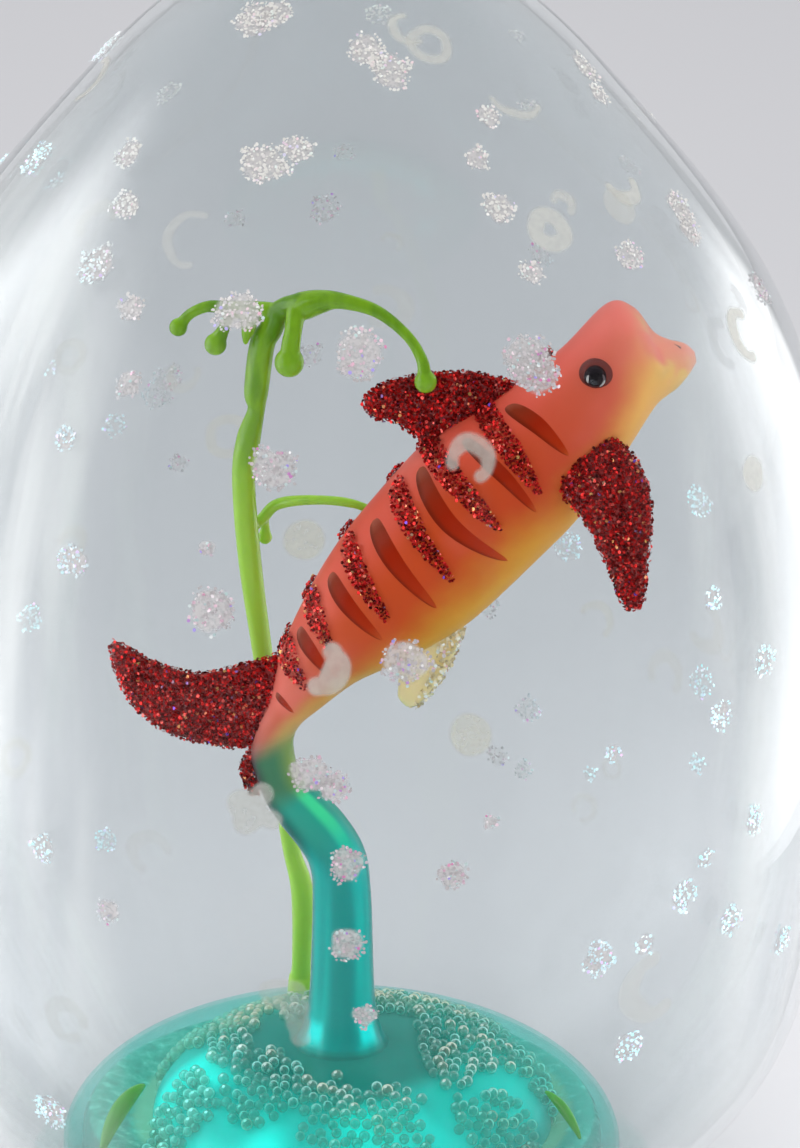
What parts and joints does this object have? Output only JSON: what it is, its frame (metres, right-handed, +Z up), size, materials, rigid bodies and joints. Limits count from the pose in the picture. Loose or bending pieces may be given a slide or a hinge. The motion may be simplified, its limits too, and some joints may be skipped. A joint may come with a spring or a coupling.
{
  "type": "glass fish ornament",
  "caption": "Egg-shaped clear glass envelope on a ring foot, holding a striped glass fish on a bent glass tube that rises from a pushed-in dome, beside a glass plant; metal cap with a wire loop",
  "frame": {"origin": "middle of the flat foot, on the surface that it stands on", "axes": "+Z up along the envelope's axis; +X towards the fish's head; the fish's right side faces -Y"},
  "size_m": [0.1004, 0.1004, 0.1535],
  "materials": {
    "clear_glass": "clear, glossy, with painted marks and glitter",
    "teal_glass": "glossy, translucent",
    "satin_glass": "satin, red back fading to a yellow belly",
    "red_glitter_glass": "covered in red glitter",
    "yellow_glass": "glossy with clear glitter",
    "green_glass": "glossy",
    "black_glass": "glossy",
    "gold_metal": "polished thin metal"
  },
  "bodies": {
    "root": {"envelope": "clear_glass", "foot_ring": "clear_glass", "base_dome": "teal_glass", "blade_left": "green_glass", "blade_right": "green_glass", "support_tube": "teal_glass", "tail_stock": "satin_glass", "trunk_rear": "satin_glass", "trunk_front": "satin_glass", "head": "satin_glass", "eye_right": "black_glass", "eye_left": "black_glass", "dorsal_fin": "red_glitter_glass", "pectoral_fin_right": "red_glitter_glass", "pectoral_fin_left": "red_glitter_glass", "tail_fin_upper": "red_glitter_glass", "tail_fin_lower": "red_glitter_glass", "anal_fin": "yellow_glass", "plant_stem": "green_glass", "plant_branch_arch": "green_glass", "plant_branch_left": "green_glass", "plant_branch_lower": "green_glass", "plant_drop_left": "green_glass", "plant_drop_centre": "green_glass", "plant_drop_lower": "green_glass", "plant_spur": "green_glass", "cap": "gold_metal", "cap_loop": "gold_metal"}
  },
  "joints": []
}
